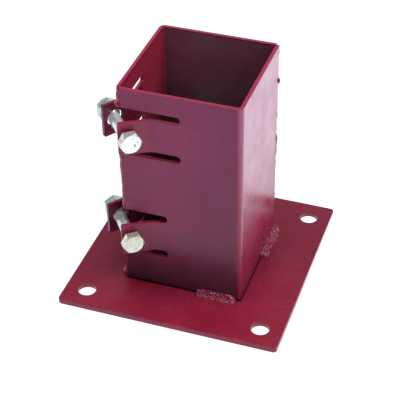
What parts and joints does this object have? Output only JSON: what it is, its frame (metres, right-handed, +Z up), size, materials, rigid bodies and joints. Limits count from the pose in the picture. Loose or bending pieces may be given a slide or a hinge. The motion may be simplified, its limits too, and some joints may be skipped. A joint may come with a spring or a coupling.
{
  "type": "bolt-down post anchor",
  "caption": "Bolt-down anchor for a square timber post: a steel sleeve welded on a square base plate, with bolted clamp ears at one corner at two heights.",
  "frame": {"origin": "centre of the base plate's underside", "axes": "+Z up along the sleeve; +Y from the front wall to the back wall; the clamps are at the -X, -Y corner"},
  "size_m": [0.15, 0.15, 0.154],
  "materials": {
    "red_paint": "gloss dark red enamel",
    "weld_paint": "gloss dark red enamel over rough weld",
    "zinc": "bright zinc plated"
  },
  "bodies": {
    "anchor": {"base_plate": "red_paint", "sleeve_front_right": "red_paint", "sleeve_back_left": "red_paint", "seam_weld_front_left": "weld_paint", "seam_weld_back_right": "weld_paint", "base_weld_front": "weld_paint", "base_weld_right": "weld_paint", "base_weld_back": "weld_paint", "base_weld_left": "weld_paint"},
    "front_tab_upper": {"front_tab_upper": "red_paint"},
    "side_tab_upper": {"side_tab_upper": "red_paint"},
    "front_tab_lower": {"front_tab_lower": "red_paint"},
    "side_tab_lower": {"side_tab_lower": "red_paint"},
    "bolt_upper": {"bolt_upper": "zinc"},
    "nut_upper": {"nut_upper": "zinc"},
    "bolt_lower": {"bolt_lower": "zinc"},
    "nut_lower": {"nut_lower": "zinc"}
  },
  "joints": [
    {"name": "front_tab_flex_upper", "type": "hinge", "parent": "anchor", "child": "front_tab_upper", "pos_m": [-0.00175, -0.039, 0.1234], "axis": [0, 0, -1], "range_deg": [0, 3], "stiffness_Nm_per_rad": 2},
    {"name": "side_tab_flex_upper", "type": "hinge", "parent": "anchor", "child": "side_tab_upper", "pos_m": [-0.039, -0.00175, 0.1234], "axis": [0, 0, 1], "range_deg": [0, 3], "stiffness_Nm_per_rad": 2},
    {"name": "bolt_turn_upper", "type": "hinge", "parent": "front_tab_upper", "child": "bolt_upper", "pos_m": [-0.04064, -0.03571, 0.1234], "axis": [-0.66, 0.7513, 0], "range_deg": [0, 979.4]},
    {"name": "nut_travel_upper", "type": "slide", "parent": "front_tab_upper", "child": "nut_upper", "axis": [0.66, -0.7513, 0], "range_m": [0, 0.0034]},
    {"name": "front_tab_flex_lower", "type": "hinge", "parent": "anchor", "child": "front_tab_lower", "pos_m": [-0.01185, -0.039, 0.0454], "axis": [0, 0, -1], "range_deg": [0, 3], "stiffness_Nm_per_rad": 2},
    {"name": "side_tab_flex_lower", "type": "hinge", "parent": "anchor", "child": "side_tab_lower", "pos_m": [-0.039, -0.01155, 0.0454], "axis": [0, 0, 1], "range_deg": [0, 3], "stiffness_Nm_per_rad": 2},
    {"name": "bolt_turn_lower", "type": "hinge", "parent": "front_tab_lower", "child": "bolt_lower", "pos_m": [-0.04283, -0.0337, 0.0454], "axis": [-0.6184, 0.7859, 0], "range_deg": [0, 979.4]},
    {"name": "nut_travel_lower", "type": "slide", "parent": "front_tab_lower", "child": "nut_lower", "axis": [0.6184, -0.7859, 0], "range_m": [0, 0.0034]}
  ],
  "couplings": [
    {"joint": "side_tab_flex_upper", "follows": "front_tab_flex_upper", "ratio": 0.9999},
    {"joint": "bolt_turn_upper", "follows": "nut_travel_upper", "rad_per_m": 5026.5},
    {"joint": "side_tab_flex_lower", "follows": "front_tab_flex_lower", "ratio": 0.9999},
    {"joint": "bolt_turn_lower", "follows": "nut_travel_lower", "rad_per_m": 5026.5}
  ]
}
